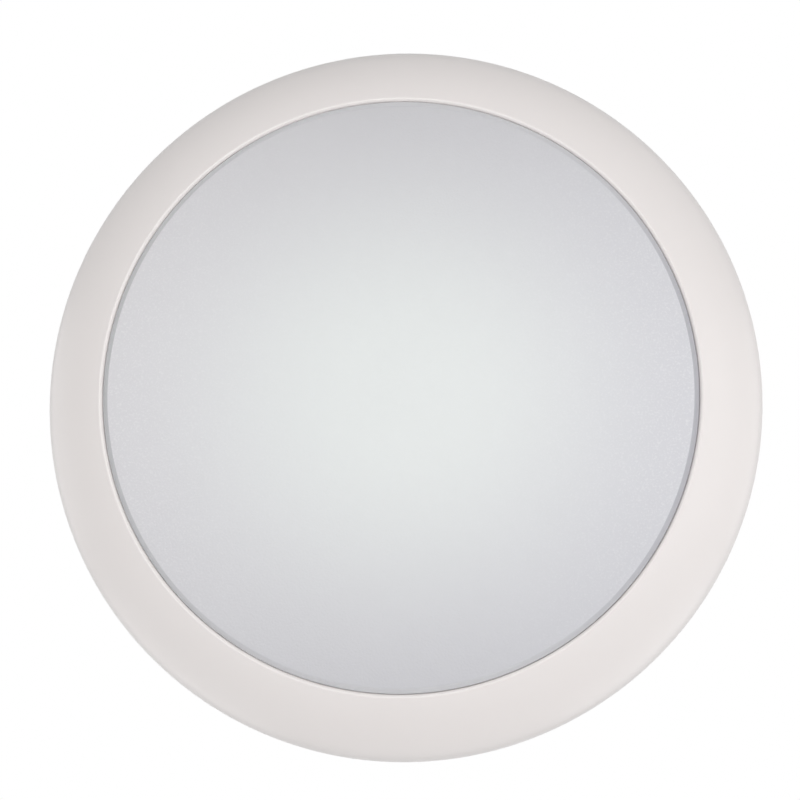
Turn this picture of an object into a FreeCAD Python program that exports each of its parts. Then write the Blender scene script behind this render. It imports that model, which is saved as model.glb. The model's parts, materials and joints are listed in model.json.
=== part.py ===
# Round ceiling light with a hidden motion sensor. A moulded base carries a steel gear tray with the
# LED board, the driver, the terminal block and a radar sensor; a frosted diffuser closes it and a
# twist-lock trim ring holds the diffuser. Millimetres. The ceiling is the plane z = 0 and the light
# hangs below it, so a depth is written as a positive size and drawn at minus that height.
import FreeCAD
import Part
import Sketcher
import math
import os
import re

SIZES = {
    # Trim ring
    "ring_radius": 165.0,
    "face_width": 31.5,
    "ring_back": 4.0,
    "ring_wall": 2.5,
    "lip_depth": 49.0,
    "lip_round": 1.6,
    "lip_height": 5.0,
    "shoulder_radius": 20.0,
    "crown_radius": 60.0,
    "blend_angle": 40.0,
    "clamp_inset": 5.0,
    "clamp_width": 2.5,
    "guide_wall": 2.0,
    "guide_back": 12.0,
    "web_thick": 1.6,
    "web_back": 9.0,
    "web_count": 16,
    # Twist lock between ring and base
    "lug_count": 4,
    "lug_half_angle": 5.0,
    "lug_thick": 3.0,
    "lug_depth": 16.0,
    "ramp_width": 2.6,
    "ramp_thick": 3.0,
    "stop_angle": 2.4,
    "stop_gap_angle": 0.6,
    "release_angle": 1.0,
    "twist_angle": 22.0,
    "cover_drop": 2.0,
    "lock_gap": 0.2,
    "lock_radial_gap": 0.6,
    # Diffuser
    "lip_gap": 0.2,
    "diffuser_wall": 2.0,
    "bevel_width": 2.4,
    "bevel_height": 1.6,
    "diffuser_proud": 0.6,
    "dome_rise": 6.0,
    "flange_thick": 2.5,
    "flange_inset": 1.0,
    # Base housing and its seal
    "skirt_room": 15.0,
    "base_wall": 2.5,
    "base_edge": 1.5,
    "panel_depth": 6.0,
    "rim_width": 32.0,
    "seat_depth": 34.0,
    "seat_height": 6.0,
    "seal_lip": 1.5,
    "groove_width": 3.0,
    "groove_depth": 2.5,
    "gasket_proud": 1.0,
    "gasket_bead": 0.5,
    "seal_gap": 0.1,
    "back_rib_thick": 2.0,
    "back_rib_count": 8,
    "hub_radius": 19.0,
    "hub_wall": 2.0,
    "knockout_place": 60.0,
    "knockout_angle": 22.5,
    "knockout_count": 2,
    "knockout_radius": 10.0,
    "knockout_groove": 1.2,
    "knockout_deep": 1.2,
    "ejector_place": 88.0,
    "ejector_radius": 3.5,
    "ejector_deep": 0.3,
    # Ceiling fixings and cable entry
    "fixing_radius": 95.0,
    "fixing_count": 4,
    "fixing_angle": 45.0,
    "fixing_hole": 2.75,
    "fixing_boss": 7.0,
    "fixing_boss_rise": 3.0,
    "washer_radius": 6.0,
    "washer_thick": 1.6,
    "entry_radius": 11.0,
    "entry_bore": 4.5,
    "grommet_lap": 3.0,
    "grommet_lap_thick": 1.5,
    "grommet_nose": 8.0,
    "grommet_nose_radius": 7.0,
    # Gear tray
    "tray_depth": 30.0,
    "tray_thick": 1.0,
    "tray_rim_gap": 0.1,
    "tray_gap": 1.5,
    "tray_boss_inset": 22.0,
    "tray_boss": 5.0,
    "tray_screw_count": 4,
    "lead_hole": 9.0,
    "lead_hole_x": 13.0,
    "lead_hole_gap": 14.0,
    "lead_bore": 7.0,
    "lead_grommet_lap": 1.5,
    # Small screws
    "screw_shank": 1.5,
    "screw_play": 0.1,
    "screw_head": 3.2,
    "screw_head_high": 2.0,
    "screw_crown": 0.6,
    "screw_length": 8.0,
    "screw_slot": 0.9,
    "screw_slot_deep": 1.0,
    "hole_play": 0.2,
    # LED board
    "board_thick": 1.6,
    "board_gap": 1.5,
    "led_rings": 3,
    "led_first_gap": 12.0,
    "led_ring_pitch": 13.0,
    "led_margin": 10.0,
    "led_spacing": 20.0,
    "led_screw_angle": 45.0,
    "led_length": 3.5,
    "led_width": 2.8,
    "led_height": 0.8,
    "plug_length": 10.0,
    "plug_width": 6.0,
    "plug_height": 5.0,
    "plug_inset": 2.0,
    # Driver
    "driver_near": 38.0,
    "driver_length": 92.0,
    "driver_width": 42.0,
    "driver_height": 20.0,
    "driver_wall": 1.5,
    "driver_round": 2.0,
    "driver_board_rise": 4.0,
    "driver_post": 2.0,
    "driver_post_inset": 4.0,
    "transformer_size": 20.0,
    "transformer_high": 10.5,
    "bobbin_thick": 1.0,
    "coil_inset": 1.5,
    "coil_round": 4.0,
    "core_width": 9.0,
    "core_proud": 1.0,
    "capacitor_radius": 5.0,
    "capacitor_high": 11.0,
    "crimp_place": 2.0,
    "crimp_high": 1.0,
    "crimp_deep": 0.5,
    "component_pitch": 24.0,
    "driver_lead_rise": 11.5,
    "driver_lead_offset": 6.0,
    "driver_lead_slot": 2.4,
    "ear_length": 8.0,
    "ear_width": 12.0,
    "ear_thick": 2.0,
    "ear_boss_rise": 4.0,
    "ear_boss": 3.5,
    # Terminal block
    "terminal_near": 50.0,
    "pole_count": 3,
    "pole_pitch": 10.0,
    "terminal_width": 20.0,
    "terminal_height": 16.0,
    "clamp_length": 12.0,
    "clamp_side": 6.5,
    "clamp_rise": 3.0,
    "clamp_bore": 2.4,
    "terminal_screw": 1.9,
    "terminal_well": 2.6,
    "cheek_thick": 2.0,
    "cheek_high": 9.0,
    # Earth point on the tray
    "earth_gap": 12.0,
    "earth_angle": 58.0,
    "earth_head": 4.0,
    "earth_shank": 1.9,
    "tag_radius": 4.0,
    "tag_thick": 0.8,
    "nut_radius": 4.0,
    "nut_high": 3.0,
    # Radar sensor
    "sensor_length": 86.0,
    "sensor_width": 48.0,
    "sensor_height": 14.0,
    "sensor_wall": 1.8,
    "sensor_round": 4.0,
    "cover_thick": 2.0,
    "sensor_board_rise": 5.0,
    "sensor_post": 2.0,
    "sensor_post_inset": 4.0,
    "can_size": 26.0,
    "can_high": 4.0,
    "can_round": 1.5,
    "can_frame": 3.0,
    "can_window_deep": 0.4,
    "can_margin": 8.0,
    "trimmer_size": 10.0,
    "trimmer_high": 5.0,
    "dial_pitch": 14.0,
    "dial_margin": 9.0,
    "dial_radius": 4.5,
    "dial_high": 2.4,
    "dial_stem": 2.5,
    "dial_play": 0.05,
    "dial_float": 0.3,
    "dial_slot": 1.0,
    "dial_slot_deep": 1.2,
    "eye_radius": 2.5,
    "eye_margin": 7.0,
    "eye_proud": 0.5,
    "sensor_lead_pitch": 6.0,
    "sensor_lead_rise": 3.2,
    # Leads
    "lead_radius": 0.95,
    "lead_pair_offset": 1.15,
    "lead_stub": 5.0,
    "lead_grip": 1.2,
    "route_unit": 1.0,
}

# Sizes that follow from the driving ones, each as a formula
FORMULAS = {
    "lip_radius": "ring_radius - face_width",
    "face_inner": "lip_radius + lip_round",
    "blend_gap": "crown_radius - shoulder_radius",
    "lip_sine": "(face_inner - ring_radius + shoulder_radius + blend_gap * sin(blend_angle)) / crown_radius",
    "skirt_depth": "lip_depth + blend_gap * cos(blend_angle) - crown_radius * sqrt(1 - lip_sine ^ 2)",
    "shoulder_centre": "ring_radius - shoulder_radius",
    "crown_centre": "shoulder_centre - blend_gap * sin(blend_angle)",
    "crown_centre_depth": "skirt_depth - blend_gap * cos(blend_angle)",
    "base_radius": "ring_radius - skirt_room",
    "ramp_radius": "base_radius + ramp_width",
    "guide_inner": "ramp_radius + lock_radial_gap",
    "guide_outer": "guide_inner + guide_wall",
    "ramp_slope": "cover_drop / (twist_angle * pi / 180 * (base_radius + ramp_width / 2))",
    "ramp_tilt": "atan(ramp_slope)",
    "stop_start_angle": "lug_half_angle + stop_gap_angle",
    "ramp_lock_angle": "stop_start_angle + stop_angle",
    "ramp_open_angle": "twist_angle - lug_half_angle - release_angle",
    "diffuser_radius": "lip_radius - lip_gap",
    "dome_radius": "diffuser_radius - bevel_width",
    "dome_depth": "lip_depth + diffuser_proud",
    "groove_outer": "base_radius - seal_lip",
    "groove_inner": "groove_outer - groove_width",
    "seat_inner": "groove_inner - seal_lip",
    "gasket_front": "seat_depth + gasket_proud",
    "flange_back": "gasket_front + seal_gap",
    "flange_front": "flange_back + flange_thick",
    "flange_radius": "base_radius - flange_inset",
    "clamp_inner": "diffuser_radius + clamp_inset",
    "recess_radius": "base_radius - rim_width",
    "floor_depth": "panel_depth + base_wall",
    "fixing_end": "floor_depth + fixing_boss_rise",
    "fixing_x": "fixing_radius * cos(fixing_angle)",
    "fixing_y": "fixing_radius * sin(fixing_angle)",
    "knockout_x": "knockout_place * cos(knockout_angle)",
    "knockout_y": "knockout_place * sin(knockout_angle)",
    "ejector_x": "ejector_place * cos(180 / back_rib_count)",
    "ejector_y": "ejector_place * sin(180 / back_rib_count)",
    "screw_hole": "screw_shank + hole_play",
    "screw_pilot": "screw_shank + screw_play",
    "tray_front": "tray_depth + tray_thick",
    "tray_rim_end": "flange_back - tray_rim_gap",
    "tray_radius": "seat_inner - tray_gap",
    "tray_boss_radius": "base_radius - tray_boss_inset",
    "ear_reach": "sensor_length / 2 + ear_length",
    "sensor_reach": "sqrt(ear_reach ^ 2 + (ear_width / 2) ^ 2)",
    "lead_hole_reach": "sqrt(lead_hole_x ^ 2 + lead_hole_y ^ 2) + lead_hole + lead_grommet_lap",
    "led_inner": "max(sensor_reach; lead_hole_reach) + board_gap",
    "led_first": "led_inner + led_first_gap",
    "led_outer": "led_first + (led_rings - 1) * led_ring_pitch + led_margin",
    "led_front": "tray_front + board_thick",
    "led_screw_radius": "led_first + led_ring_pitch / 2",
    "led_screw_x": "led_screw_radius * cos(led_screw_angle)",
    "led_screw_y": "led_screw_radius * sin(led_screw_angle)",
    "plug_y": "-(led_inner + plug_inset + plug_width / 2)",
    "plug_middle": "led_front + plug_height / 2",
    "lead_hole_y": "-(sensor_width / 2 + lead_hole_gap)",
    "driver_y": "driver_near + driver_width / 2",
    "driver_ear_x": "driver_length / 2 + ear_length / 2",
    "driver_case_high": "driver_height - driver_wall",
    "driver_board_depth": "floor_depth + driver_board_rise",
    "driver_parts_depth": "driver_board_depth + board_thick",
    "bobbin_top_depth": "driver_parts_depth + transformer_high - core_proud - bobbin_thick",
    "driver_lead_depth": "floor_depth + driver_lead_rise",
    "terminal_length": "pole_count * pole_pitch + cheek_thick",
    "terminal_y": "-(terminal_near + terminal_width / 2)",
    "cheek_x": "terminal_length / 2 + hole_play + cheek_thick / 2",
    "clamp_depth": "floor_depth + clamp_rise",
    "clamp_middle": "clamp_depth + clamp_side / 2",
    "earth_radius": "led_outer + earth_gap",
    "earth_x": "-earth_radius * cos(earth_angle)",
    "earth_y": "-earth_radius * sin(earth_angle)",
    "sensor_ear_x": "sensor_length / 2 + ear_length / 2",
    "sensor_board_depth": "tray_front + sensor_board_rise",
    "sensor_parts_depth": "sensor_board_depth + board_thick",
    "sensor_lead_depth": "tray_front + sensor_lead_rise",
    "cover_depth": "tray_front + sensor_height",
    "cover_front": "cover_depth + cover_thick",
    "dial_bore": "dial_stem + dial_play",
    "dial_first_x": "sensor_length / 2 - dial_margin",
    "can_x": "-(sensor_length / 2 - can_margin - can_size / 2)",
    "eye_x": "dial_first_x - dial_pitch",
    "eye_y": "sensor_width / 2 - eye_margin",
}

doc = FreeCAD.newDocument("ceiling_light")
sheet = doc.addObject("Spreadsheet::Sheet", "Sizes")
for row, (size_name, size) in enumerate(SIZES.items(), start=1):
    sheet.set(f"A{row}", size_name)
    sheet.set(f"B{row}", str(size))
    sheet.setAlias(f"B{row}", size_name)
doc.recompute()

NODES = []
DIAL_NAMES = ("sensitivity_dial", "hold_time_dial", "daylight_dial")


def full(expression):
    """The formula with every size written as a cell of the sheet."""
    def cell(match):
        word = match.group(0)
        if word in SIZES:
            return f"Sizes.{word}"
        if word in FORMULAS:
            return f"({full(FORMULAS[word])})"
        return word
    return re.sub(r"[A-Za-z_]\w*", cell, str(expression))


def value(expression):
    """The formula's number at the sheet's present sizes."""
    return float(sheet.evalExpression(full(expression)))


def bind(item, **formulas):
    """Bind properties of a document object to formulas of the sheet."""
    for name, formula in formulas.items():
        item.setExpression(name.replace("__", "."), full(formula))


def node(item, label):
    """Keep an object as one named piece of the light."""
    item.Label = label
    NODES.append(item)
    return item


# Sketches and features of a body

def origin_feature(body, role):
    return next(feature for feature in body.Origin.OriginFeatures if feature.Role == role)


def new_body(label):
    return doc.addObject("PartDesign::Body", label)


def sketch(body, role, depth=None, tilt=None):
    """A sketch on an origin plane, lowered by a depth and tilted about X where these are given."""
    drawing = body.newObject("Sketcher::SketchObject", f"{body.Name}_sketch")
    drawing.AttachmentSupport = [(origin_feature(body, role), "")]
    drawing.MapMode = "FlatFace"
    if tilt is not None:
        x_axis = FreeCAD.Vector(1, 0, 0)
        drawing.AttachmentOffset = FreeCAD.Placement(FreeCAD.Vector(), FreeCAD.Rotation(x_axis, 1))
        bind(drawing, AttachmentOffset__Rotation__Angle=tilt)
    if depth is not None:
        bind(drawing, AttachmentOffset__Base__z=f"-({depth})")
    return drawing


def arc_geometry(start, end, radius, turn):
    """The arc from start to end and which of its ends is which; turn is 1 to the left, -1 to the right."""
    chord = end - start
    left = FreeCAD.Vector(-chord.y, chord.x, 0).normalize()
    away = math.sqrt(max(radius ** 2 - (chord.Length / 2) ** 2, 0))
    centre = (start + end) * 0.5 + left * (turn * away)
    first, last = (start, end) if turn > 0 else (end, start)
    angles = [math.atan2(point.y - centre.y, point.x - centre.x) for point in (first, last)]
    circle = Part.Circle(centre, FreeCAD.Vector(0, 0, 1), radius)
    ends = (1, 2) if turn > 0 else (2, 1)
    return Part.ArcOfCircle(circle, angles[0], angles[1]), ends


def outline(drawing, corners):
    """Draw a closed outline. A corner is (x, y), or (x, y, radius, turn) where an arc leaves it."""
    points = [FreeCAD.Vector(value(corner[0]), value(corner[1]), 0) for corner in corners]
    edges = []
    for index, corner in enumerate(corners):
        start = points[index]
        end = points[(index + 1) % len(corners)]
        if len(corner) == 4:
            shape, ends = arc_geometry(start, end, value(corner[2]), corner[3])
        else:
            shape, ends = Part.LineSegment(start, end), (1, 2)
        edges.append((drawing.addGeometry(shape), ends))
    for index, corner in enumerate(corners):
        edge, ends = edges[index]
        following, following_ends = edges[(index + 1) % len(edges)]
        drawing.addConstraint(Sketcher.Constraint("Coincident", edge, ends[1], following, following_ends[0]))
        distance(drawing, "DistanceX", edge, ends[0], points[index].x, corner[0])
        distance(drawing, "DistanceY", edge, ends[0], points[index].y, corner[1])
        if len(corner) == 4:
            named(drawing, Sketcher.Constraint("Radius", edge, value(corner[2])), corner[2])
    return drawing


def named(drawing, constraint, formula):
    """Add a constraint and bind its size to a formula."""
    index = drawing.addConstraint(constraint)
    drawing.renameConstraint(index, f"size_{index}")
    drawing.setExpression(f"Constraints.size_{index}", full(formula))


def distance(drawing, kind, edge, end, number, formula):
    """Hold an end of an edge at a distance from the origin, or on the axis where that is nought."""
    if formula == "0":
        axis = -2 if kind == "DistanceX" else -1
        drawing.addConstraint(Sketcher.Constraint("PointOnObject", edge, end, axis))
    else:
        named(drawing, Sketcher.Constraint(kind, -1, 1, edge, end, number), formula)


def circle(drawing, x, y, radius):
    """Draw a circle."""
    centre = FreeCAD.Vector(value(x), value(y), 0)
    edge = drawing.addGeometry(Part.Circle(centre, FreeCAD.Vector(0, 0, 1), value(radius)))
    distance(drawing, "DistanceX", edge, 3, centre.x, x)
    distance(drawing, "DistanceY", edge, 3, centre.y, y)
    named(drawing, Sketcher.Constraint("Radius", edge, value(radius)), radius)
    return drawing


def rectangle(drawing, left, right, low, high):
    """Draw an upright rectangle between four formulas."""
    return outline(drawing, [(left, low), (right, low), (right, high), (left, high)])


def sector(drawing, inner, outer, first_angle, last_angle):
    """Draw a piece of a flat ring between two radii and two angles."""
    def at(radius, angle):
        return f"({radius}) * cos({angle})", f"({radius}) * sin({angle})"
    return outline(drawing, [
        at(inner, first_angle),
        (*at(outer, first_angle), outer, 1),
        at(outer, last_angle),
        (*at(inner, last_angle), inner, -1),
    ])


def turned(body, corners):
    """Turn an outline of (radius, height) corners round the upright axis."""
    drawing = outline(sketch(body, "XZ_Plane"), corners)
    feature = body.newObject("PartDesign::Revolution", f"{body.Name}_turned")
    feature.Profile = drawing
    feature.ReferenceAxis = (drawing, ["V_Axis"])
    feature.Angle = 360
    return feature


def pad(body, drawing, length, down=True, both_ways=False):
    """Add a thickness below a sketch, or above it, or half on each side."""
    feature = body.newObject("PartDesign::Pad", f"{body.Name}_pad")
    feature.Profile = drawing
    feature.Reversed = down
    feature.Midplane = both_ways
    bind(feature, Length=length)
    return feature


def pocket(body, drawing, length=None, down=True):
    """Cut below a sketch to a length, or through everything."""
    feature = body.newObject("PartDesign::Pocket", f"{body.Name}_pocket")
    feature.Profile = drawing
    feature.Reversed = not down
    if length is None:
        feature.Type = 1
    else:
        bind(feature, Length=length)
    return feature


def around(body, feature, count):
    """Repeat a feature evenly round the upright axis."""
    pattern = body.newObject("PartDesign::PolarPattern", f"{body.Name}_around")
    pattern.Originals = [feature]
    pattern.Axis = (origin_feature(body, "Z_Axis"), [""])
    pattern.Angle = 360
    bind(pattern, Occurrences=count)
    body.Tip = pattern
    return pattern


# Plain solids and their booleans

def block(name, x, y, depth, length, width, height):
    """A box centred on (x, y) that starts at a depth and reaches further down."""
    box = doc.addObject("Part::Box", name)
    bind(box, Length=length, Width=width, Height=height)
    bind(box, Placement__Base__x=f"({x}) - ({length}) / 2")
    bind(box, Placement__Base__y=f"({y}) - ({width}) / 2")
    bind(box, Placement__Base__z=f"-(({depth}) + ({height}))")
    return box


def rod(name, x, y, depth, radius, height):
    """An upright cylinder that starts at a depth and reaches further down."""
    cylinder = doc.addObject("Part::Cylinder", name)
    bind(cylinder, Radius=radius, Height=height)
    bind(cylinder, Placement__Base__x=x, Placement__Base__y=y)
    bind(cylinder, Placement__Base__z=f"-(({depth}) + ({height}))")
    return cylinder


def cross_rod(name, x, y, depth, radius, length):
    """A level cylinder along Y, centred on (x, y)."""
    cylinder = doc.addObject("Part::Cylinder", name)
    lying = FreeCAD.Rotation(FreeCAD.Vector(1, 0, 0), -90)
    cylinder.Placement = FreeCAD.Placement(FreeCAD.Vector(), lying)
    bind(cylinder, Radius=radius, Height=length)
    bind(cylinder, Placement__Base__x=x)
    bind(cylinder, Placement__Base__y=f"({y}) - ({length}) / 2")
    bind(cylinder, Placement__Base__z=f"-({depth})")
    return cylinder


def joined(name, pieces):
    """One solid from several that overlap."""
    if len(pieces) == 1:
        return pieces[0]
    fusion = doc.addObject("Part::MultiFuse", name)
    fusion.Shapes = pieces
    return fusion


def cut(name, base, tools):
    """A solid less several others."""
    result = doc.addObject("Part::Cut", name)
    result.Base = base
    result.Tool = joined(f"{name}_tools", tools)
    return result


def rounded(name, box, radius):
    """A box with its four upright edges rounded."""
    upright_edges = (1, 3, 5, 7)
    result = doc.addObject("Part::Fillet", name)
    result.Base = box
    result.Edges = [(edge, value(radius), value(radius)) for edge in upright_edges]
    return result


# Groups of equal pieces

def round_spots(count, radius, first_angle="0"):
    """Evenly spaced places (x, y, turn) on a circle."""
    spots = []
    reach = value(radius)
    for index in range(round(value(count))):
        angle = value(first_angle) + index * 360 / value(count)
        turn = math.radians(angle)
        spots.append((reach * math.cos(turn), reach * math.sin(turn), angle))
    return spots


def pair_spots(x, y):
    """Two places (x, y, turn), one on each side of the middle."""
    return [(-value(x), value(y), 0), (value(x), value(y), 0)]


def copies(label, pattern, spots):
    """One node of equal separate solids: a pattern piece, drawn on the axis, set at each spot."""
    doc.recompute()
    upright = FreeCAD.Vector(0, 0, 1)
    solids = []
    for x, y, turn in spots:
        solid = pattern.Shape.copy()
        spot = FreeCAD.Placement(FreeCAD.Vector(x, y, 0), FreeCAD.Rotation(upright, turn))
        solid.Placement = spot.multiply(solid.Placement)
        solids.append(solid)
    group = doc.addObject("Part::Feature", label)
    group.Shape = Part.makeCompound(solids)
    group.Placement = FreeCAD.Placement()
    return node(group, label)


def screw(name, seat_depth, length, head="screw_head", shank="screw_shank"):
    """A slotted screw on the axis, its head below the seat and its shank above it."""
    body = new_body(name)
    turned(body, [
        ("0", f"-(({seat_depth}) - ({length}))"),
        (shank, f"-(({seat_depth}) - ({length}))"),
        (shank, f"-({seat_depth})"),
        (head, f"-({seat_depth})"),
        (head, f"-(({seat_depth}) + screw_head_high / 2)"),
        (f"{head} * screw_crown", f"-(({seat_depth}) + screw_head_high)"),
        ("0", f"-(({seat_depth}) + screw_head_high)"),
    ])
    slot = sketch(body, "XY_Plane", f"({seat_depth}) + screw_head_high")
    rectangle(slot, f"-2 * {head}", f"2 * {head}", "-screw_slot / 2", "screw_slot / 2")
    pocket(body, slot, "screw_slot_deep", down=False)
    return body


def make_base_housing():
    """The moulded pan: recess with knock-outs, wall with the seal groove, bosses, ribs and ramps."""
    body = new_body("base_housing")
    seat_start = "seat_depth - seat_height"
    turned(body, [
        ("entry_radius", "-panel_depth"),
        ("recess_radius", "-panel_depth"),
        ("recess_radius", "0"),
        ("base_radius - base_edge", "0", "base_edge", -1),
        ("base_radius", "-base_edge"),
        ("base_radius", "-seat_depth"),
        ("groove_outer", "-seat_depth"),
        ("groove_outer", "-(seat_depth - groove_depth)"),
        ("groove_inner", "-(seat_depth - groove_depth)"),
        ("groove_inner", "-seat_depth"),
        ("seat_inner", "-seat_depth"),
        ("seat_inner", f"-({seat_start})"),
        ("base_radius - base_wall", f"-({seat_start} - seat_height / 2)"),
        ("base_radius - base_wall", "-base_wall"),
        ("recess_radius + base_wall", "-base_wall"),
        ("recess_radius + base_wall", "-floor_depth"),
        ("entry_radius", "-floor_depth"),
    ])
    turned(body, [
        ("hub_radius - hub_wall", "0"),
        ("hub_radius", "0"),
        ("hub_radius", "-(panel_depth + base_wall / 2)"),
        ("hub_radius - hub_wall", "-(panel_depth + base_wall / 2)"),
    ])
    rib = sketch(body, "XY_Plane")
    rectangle(rib, "hub_radius - hub_wall / 2", "recess_radius + base_wall / 2",
              "-back_rib_thick / 2", "back_rib_thick / 2")
    around(body, pad(body, rib, "panel_depth + base_wall / 2"), "back_rib_count")

    ring_groove = sketch(body, "XY_Plane", "panel_depth")
    for radius in ("knockout_radius", "knockout_radius - knockout_groove"):
        circle(ring_groove, "knockout_x", "knockout_y", radius)
    around(body, pocket(body, ring_groove, "knockout_deep"), "knockout_count")
    mark = circle(sketch(body, "XY_Plane", "panel_depth"), "ejector_x", "ejector_y", "ejector_radius")
    around(body, pocket(body, mark, "ejector_deep"), "back_rib_count")

    boss = circle(sketch(body, "XY_Plane"), "fixing_x", "fixing_y", "fixing_boss")
    around(body, pad(body, boss, "fixing_end"), "fixing_count")
    hole = circle(sketch(body, "XY_Plane"), "fixing_x", "fixing_y", "fixing_hole")
    around(body, pocket(body, hole), "fixing_count")

    pillar = circle(sketch(body, "XY_Plane", "base_wall / 2"), "tray_boss_radius", "0", "tray_boss")
    around(body, pad(body, pillar, "tray_depth - base_wall / 2"), "tray_screw_count")
    pilot = circle(sketch(body, "XY_Plane", "tray_depth"), "tray_boss_radius", "0", "screw_pilot")
    around(body, pocket(body, pilot, "screw_length", down=False), "tray_screw_count")

    for side in ("-driver_ear_x", "driver_ear_x"):
        post = circle(sketch(body, "XY_Plane", "panel_depth + base_wall / 2"), side, "driver_y", "ear_boss")
        pad(body, post, "ear_boss_rise + base_wall / 2")
        post_end = sketch(body, "XY_Plane", "floor_depth + ear_boss_rise")
        pocket(body, circle(post_end, side, "driver_y", "screw_pilot"), "ear_boss_rise", down=False)

    for side in ("-cheek_x", "cheek_x"):
        cheek = sketch(body, "XY_Plane", "panel_depth + base_wall / 2")
        rectangle(cheek, f"{side} - cheek_thick / 2", f"{side} + cheek_thick / 2",
                  "terminal_y - terminal_width / 2", "terminal_y + terminal_width / 2")
        pad(body, cheek, "cheek_high + base_wall / 2")

    ramp = sketch(body, "XY_Plane", "lug_depth + lock_gap", "ramp_tilt")
    sector(ramp, "base_radius - base_wall / 2", "ramp_radius", "-ramp_open_angle", "ramp_lock_angle")
    around(body, pad(body, ramp, "ramp_thick"), "lug_count")
    stop = sketch(body, "XY_Plane", "lug_depth - lug_thick")
    sector(stop, "base_radius - base_wall / 2", "ramp_radius", "stop_start_angle", "ramp_lock_angle")
    around(body, pad(body, stop, "lug_thick + lock_gap + ramp_thick / 2"), "lug_count")
    return node(body, "base_housing")


def make_cable_grommet():
    """The rubber grommet that the supply cable comes in through."""
    body = new_body("cable_grommet")
    neck = "entry_radius - seal_gap"
    lap = "entry_radius + grommet_lap"
    turned(body, [
        ("entry_bore", "-(panel_depth - grommet_lap_thick)"),
        (lap, "-(panel_depth - grommet_lap_thick)"),
        (lap, "-panel_depth"),
        (neck, "-panel_depth"),
        (neck, "-floor_depth"),
        (lap, "-floor_depth"),
        (lap, "-(floor_depth + grommet_lap_thick)"),
        ("grommet_nose_radius", "-(floor_depth + grommet_nose)"),
        ("entry_bore", "-(floor_depth + grommet_nose)"),
    ])
    return node(body, "cable_grommet")


def make_fixing_washers():
    """Sealing washers on the inner ends of the fixing bosses."""
    washer = new_body("fixing_washer_pattern")
    turned(washer, [
        ("fixing_hole", "-fixing_end"),
        ("washer_radius", "-fixing_end"),
        ("washer_radius", "-(fixing_end + washer_thick)"),
        ("fixing_hole", "-(fixing_end + washer_thick)"),
    ])
    return copies("fixing_washers", washer, round_spots("fixing_count", "fixing_radius", "fixing_angle"))


def make_perimeter_gasket():
    """The seal in the groove of the base, which the diffuser's flange presses on."""
    body = new_body("perimeter_gasket")
    turned(body, [
        ("groove_inner + seal_gap", "-(seat_depth - groove_depth)"),
        ("groove_outer - seal_gap", "-(seat_depth - groove_depth)"),
        ("groove_outer - seal_gap", "-seat_depth"),
        ("groove_outer - seal_gap - gasket_bead", "-gasket_front"),
        ("groove_inner + seal_gap + gasket_bead", "-gasket_front"),
        ("groove_inner + seal_gap", "-seat_depth"),
    ])
    return node(body, "perimeter_gasket")


def make_gear_tray():
    """The painted steel disc with its turned-down rim and the holes for screws and leads."""
    body = new_body("gear_tray")
    turned(body, [
        ("0", "-tray_depth"),
        ("tray_radius", "-tray_depth"),
        ("tray_radius", "-tray_rim_end"),
        ("tray_radius - tray_thick", "-tray_rim_end"),
        ("tray_radius - tray_thick", "-tray_front"),
        ("0", "-tray_front"),
    ])
    hole = circle(sketch(body, "XY_Plane"), "tray_boss_radius", "0", "screw_hole")
    around(body, pocket(body, hole), "tray_screw_count")
    hole = circle(sketch(body, "XY_Plane"), "led_screw_x", "led_screw_y", "screw_hole")
    around(body, pocket(body, hole), "tray_screw_count")
    holes = [
        ("-lead_hole_x", "lead_hole_y", "lead_hole"),
        ("lead_hole_x", "lead_hole_y", "lead_hole"),
        ("earth_x", "earth_y", "earth_shank + hole_play"),
        ("sensor_ear_x", "0", "screw_hole"),
        ("-sensor_ear_x", "0", "screw_hole"),
    ]
    for x, y, radius in holes:
        pocket(body, circle(sketch(body, "XY_Plane"), x, y, radius))
    return node(body, "gear_tray")


def make_tray_grommets():
    """The two rubber rings that guard the leads where they go through the tray."""
    body = new_body("tray_grommet_pattern")
    neck = "lead_hole - seal_gap"
    lap = "lead_hole + lead_grommet_lap"
    turned(body, [
        ("lead_bore", "-(tray_depth - lead_grommet_lap)"),
        (lap, "-(tray_depth - lead_grommet_lap)"),
        (lap, "-tray_depth"),
        (neck, "-tray_depth"),
        (neck, "-tray_front"),
        (lap, "-tray_front"),
        (lap, "-(tray_front + lead_grommet_lap)"),
        ("lead_bore", "-(tray_front + lead_grommet_lap)"),
    ])
    return copies("tray_grommets", body, pair_spots("lead_hole_x", "lead_hole_y"))


def make_tray_screws():
    fastener = screw("tray_screw_pattern", "tray_front", "screw_length")
    return copies("tray_screws", fastener, round_spots("tray_screw_count", "tray_boss_radius"))


def make_led_board():
    """The ring-shaped board round the sensor."""
    body = new_body("led_board")
    turned(body, [
        ("led_inner", "-tray_front"),
        ("led_outer", "-tray_front"),
        ("led_outer", "-led_front"),
        ("led_inner", "-led_front"),
    ])
    hole = circle(sketch(body, "XY_Plane"), "led_screw_x", "led_screw_y", "screw_hole")
    around(body, pocket(body, hole), "tray_screw_count")
    return node(body, "led_board")


def make_led_chips():
    """Light sources in rings on the board, at about equal spacing."""
    chip = block("led_chip_pattern", "0", "0", "led_front", "led_length", "led_width", "led_height")
    spots = []
    for ring in range(int(value("led_rings"))):
        radius = f"led_first + {ring} * led_ring_pitch"
        count = int(2 * math.pi * value(radius) / value("led_spacing"))
        spots += round_spots(count, radius, first_angle=180 / count)
    return copies("led_chips", chip, spots)


def make_led_board_screws():
    fastener = screw("led_screw_pattern", "led_front", "screw_length / 2")
    spots = round_spots("tray_screw_count", "led_screw_radius", "led_screw_angle")
    return copies("led_board_screws", fastener, spots)


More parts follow.
